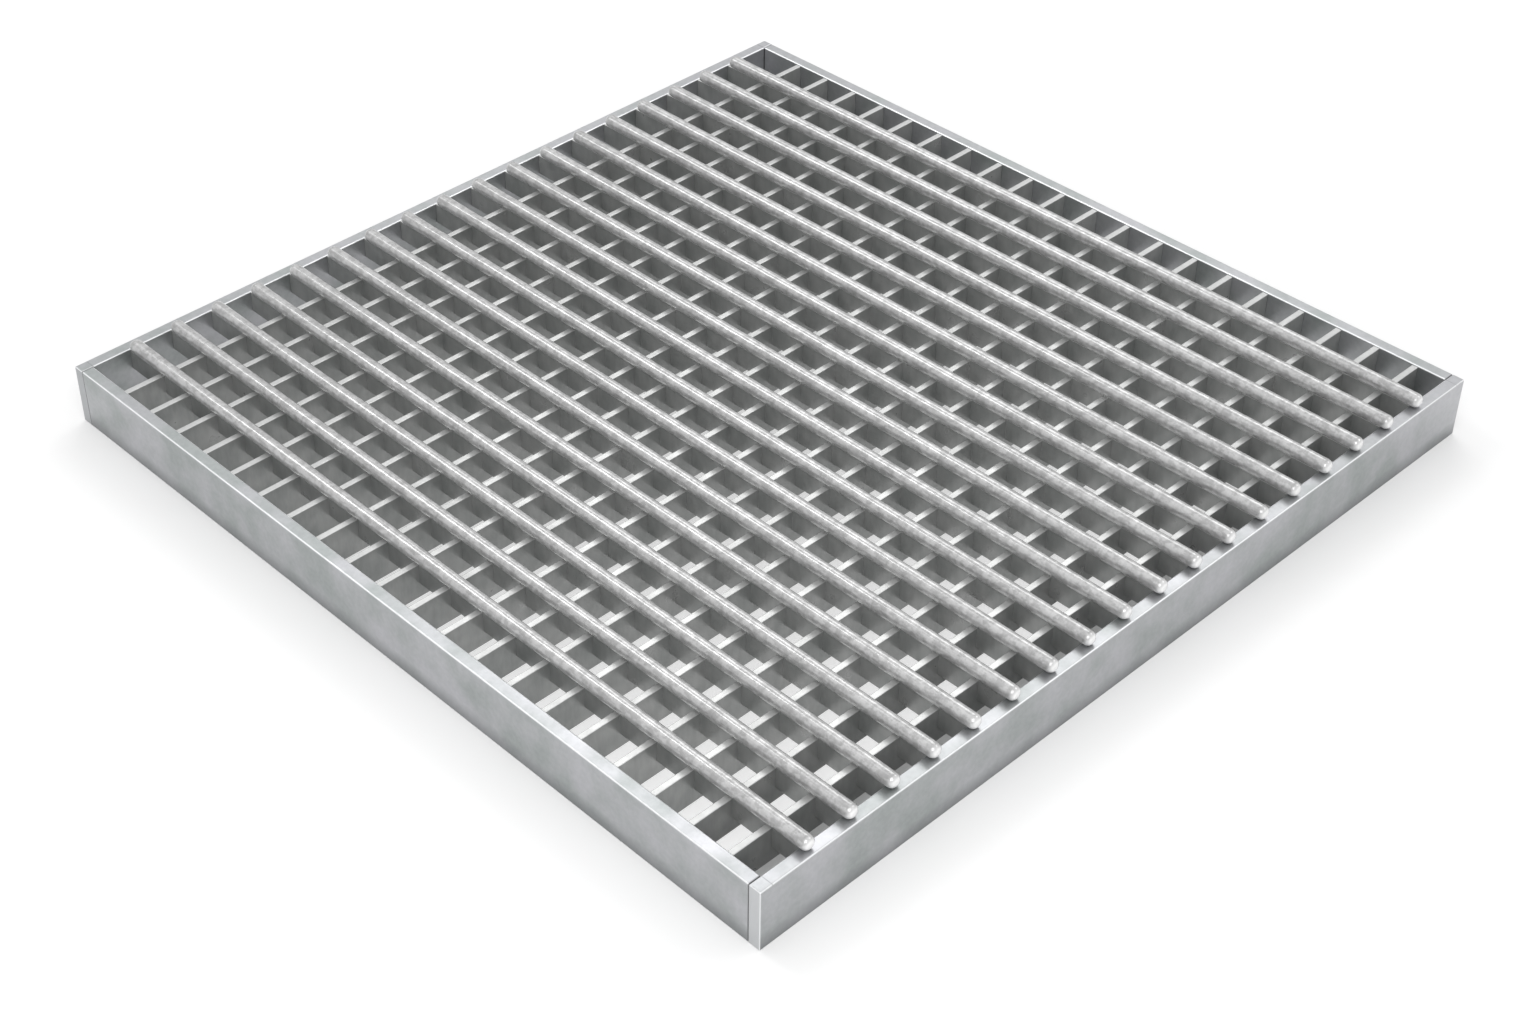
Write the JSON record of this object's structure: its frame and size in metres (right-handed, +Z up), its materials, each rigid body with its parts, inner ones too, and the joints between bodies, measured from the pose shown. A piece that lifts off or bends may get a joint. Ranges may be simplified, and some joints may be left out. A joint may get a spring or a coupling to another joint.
{
  "type": "steel grating panel",
  "caption": "Square framed steel grating: flat edge bars round a lattice of deep and shallow flat bars, with round rods laid along its top.",
  "frame": {"origin": "middle of the panel's underside, on the floor it lies on", "axes": "+X across the round rods, +Y along the rods from the edge bar they lie on to the one they stop short of, +Z up out of the walking side"},
  "size_m": [0.73, 0.73, 0.061],
  "materials": {
    "frame": "hot-dip galvanised, satin, cloudy grey",
    "bars": "hot-dip galvanised, satin, sheared edges brighter",
    "rods": "hot-dip galvanised, brighter and slightly uneven"
  },
  "bodies": {
    "root": {"band_front": "frame", "band_back": "frame", "band_left": "frame", "band_right": "frame", "bar_grid": "bars", "rod_01": "rods", "rod_02": "rods", "rod_03": "rods", "rod_04": "rods", "rod_05": "rods", "rod_06": "rods", "rod_07": "rods", "rod_08": "rods", "rod_09": "rods", "rod_10": "rods", "rod_11": "rods", "rod_12": "rods", "rod_13": "rods", "rod_14": "rods", "rod_15": "rods", "rod_16": "rods", "rod_17": "rods", "rod_18": "rods"}
  },
  "joints": []
}
